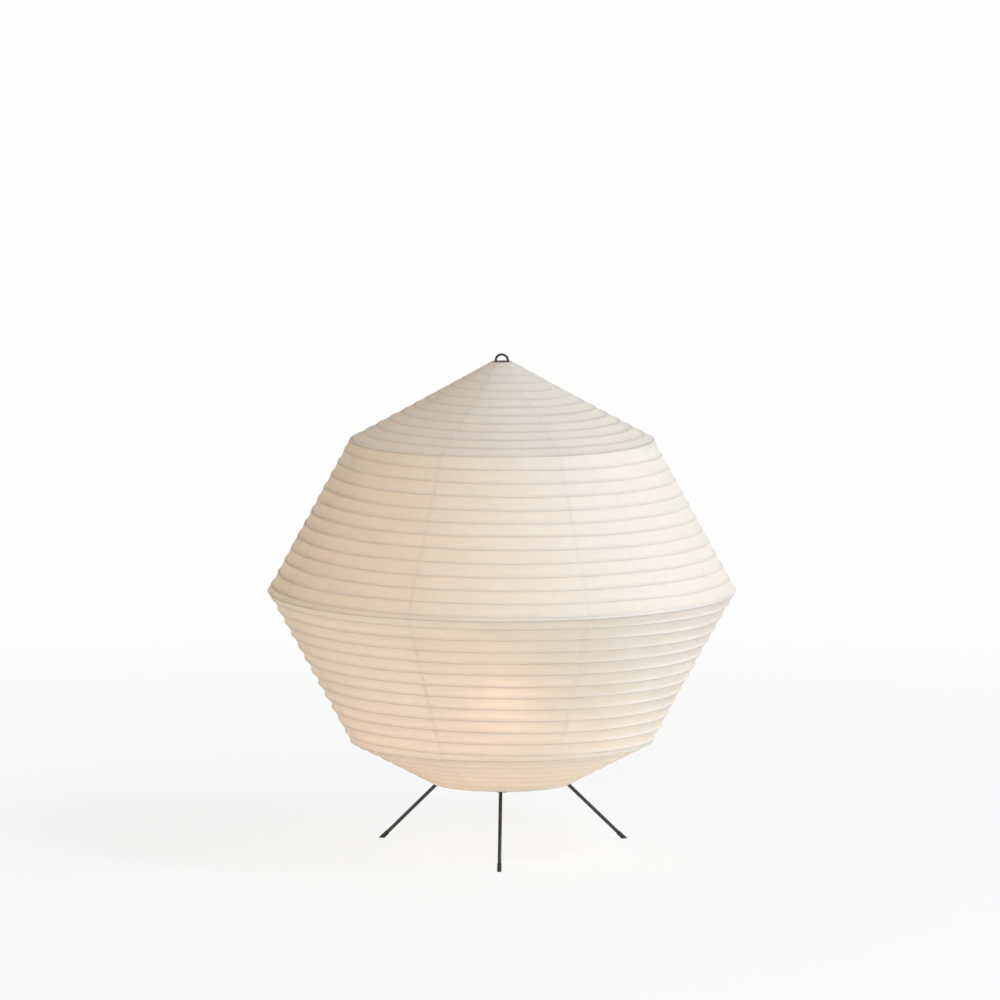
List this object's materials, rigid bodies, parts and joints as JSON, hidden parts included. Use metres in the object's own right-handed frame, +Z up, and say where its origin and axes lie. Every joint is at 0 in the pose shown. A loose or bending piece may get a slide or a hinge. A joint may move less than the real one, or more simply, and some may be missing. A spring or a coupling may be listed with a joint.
{
  "type": "rice paper table lamp",
  "caption": "Faceted rice paper lantern shade with spiral ribs on a splayed three-legged wire stand; the shade lifts off and folds flat, and the bulb unscrews.",
  "frame": {"origin": "on the table under the middle of the lamp, in the plane of the three feet", "axes": "+Z up along the axis of the shade; the front leg points along -Y; the stretcher wire lies in the XZ plane"},
  "size_m": [0.45, 0.45, 0.4807],
  "materials": {
    "rice_paper": "matte fibrous translucent paper",
    "bamboo": "split bamboo, matte",
    "black_wire": "satin black paint on steel wire",
    "soft_tip": "matte black soft plastic",
    "screw_steel": "plain steel",
    "holder_plastic": "moulded black plastic",
    "grip_plastic": "moulded black plastic",
    "holder_ceramic": "unglazed white ceramic",
    "brass_sheet": "pressed brass sheet",
    "contact_metal": "tinned contact",
    "black_insulator": "black fused insulator",
    "frosted_glass": "frosted glass",
    "clear_glass": "clear glass",
    "filament": "coated light strip"
  },
  "bodies": {
    "stand": {"leg_front": "black_wire", "leg_rear_right": "black_wire", "leg_rear_left": "black_wire", "tip_front": "soft_tip", "tip_rear_right": "soft_tip", "tip_rear_left": "soft_tip", "leg_collar": "black_wire", "leg_grub_screws": "screw_steel", "stretcher_right": "black_wire", "stretcher_left": "black_wire", "stretcher_loop": "black_wire", "holder_cap": "holder_plastic", "holder_skirt": "holder_plastic", "holder_core": "holder_ceramic", "holder_screw_shell": "brass_sheet", "holder_centre_contact": "brass_sheet", "holder_terminal_screws": "brass_sheet", "clamp_ring": "holder_plastic", "cord_grip": "grip_plastic"},
    "shade": {"gore_front": "rice_paper", "gore_front_right": "rice_paper", "gore_right": "rice_paper", "gore_back_right": "rice_paper", "gore_back": "rice_paper", "gore_back_left": "rice_paper", "gore_left": "rice_paper", "gore_front_left": "rice_paper", "rib_crown": "bamboo", "rib_upper": "bamboo", "rib_lower": "bamboo", "rib_base": "bamboo", "top_ring": "black_wire"},
    "shoulder_hoop": {"shoulder_hoop": "bamboo"},
    "waist_hoop": {"waist_hoop": "bamboo"},
    "hip_hoop": {"hip_hoop": "bamboo"},
    "base_hoop": {"base_hoop": "black_wire"},
    "bulb_foot": {"bulb_contact": "contact_metal", "bulb_insulator": "black_insulator"},
    "bulb": {"bulb_cap": "brass_sheet", "bulb_glass": "frosted_glass", "bulb_stem": "clear_glass", "bulb_filaments": "filament"}
  },
  "joints": [
    {"name": "shade_lift", "type": "slide", "parent": "stand", "child": "shade", "axis": [0, 0, 1], "range_m": [0, 0.43]},
    {"name": "shade_fold", "type": "slide", "parent": "shade", "child": "base_hoop", "axis": [0, 0, 1], "range_m": [0, 0.3685], "deforming": ["gore_front", "gore_front_right", "gore_right", "gore_back_right", "gore_back", "gore_back_left", "gore_left", "gore_front_left", "rib_crown", "rib_upper", "rib_lower", "rib_base"]},
    {"name": "hip_fold", "type": "slide", "parent": "shade", "child": "hip_hoop", "axis": [0, 0, 1], "range_m": [0, 0.332]},
    {"name": "waist_fold", "type": "slide", "parent": "shade", "child": "waist_hoop", "axis": [0, 0, 1], "range_m": [0, 0.201]},
    {"name": "shoulder_fold", "type": "slide", "parent": "shade", "child": "shoulder_hoop", "axis": [0, 0, 1], "range_m": [0, 0.0692]},
    {"name": "bulb_rise", "type": "slide", "parent": "stand", "child": "bulb_foot", "axis": [0, 0, 1], "range_m": [0, 0.0255]},
    {"name": "bulb_turn", "type": "hinge", "parent": "bulb_foot", "child": "bulb", "pos_m": [0, 0, 0.0932], "axis": [0, 0, 1], "range_deg": [0, 2520]}
  ],
  "couplings": [
    {"joint": "hip_fold", "follows": "shade_fold", "ratio": 0.90024},
    {"joint": "waist_fold", "follows": "shade_fold", "ratio": 0.54513},
    {"joint": "shoulder_fold", "follows": "shade_fold", "ratio": 0.18754},
    {"joint": "bulb_rise", "follows": "bulb_turn", "m_per_rad": 0.00057757}
  ]
}
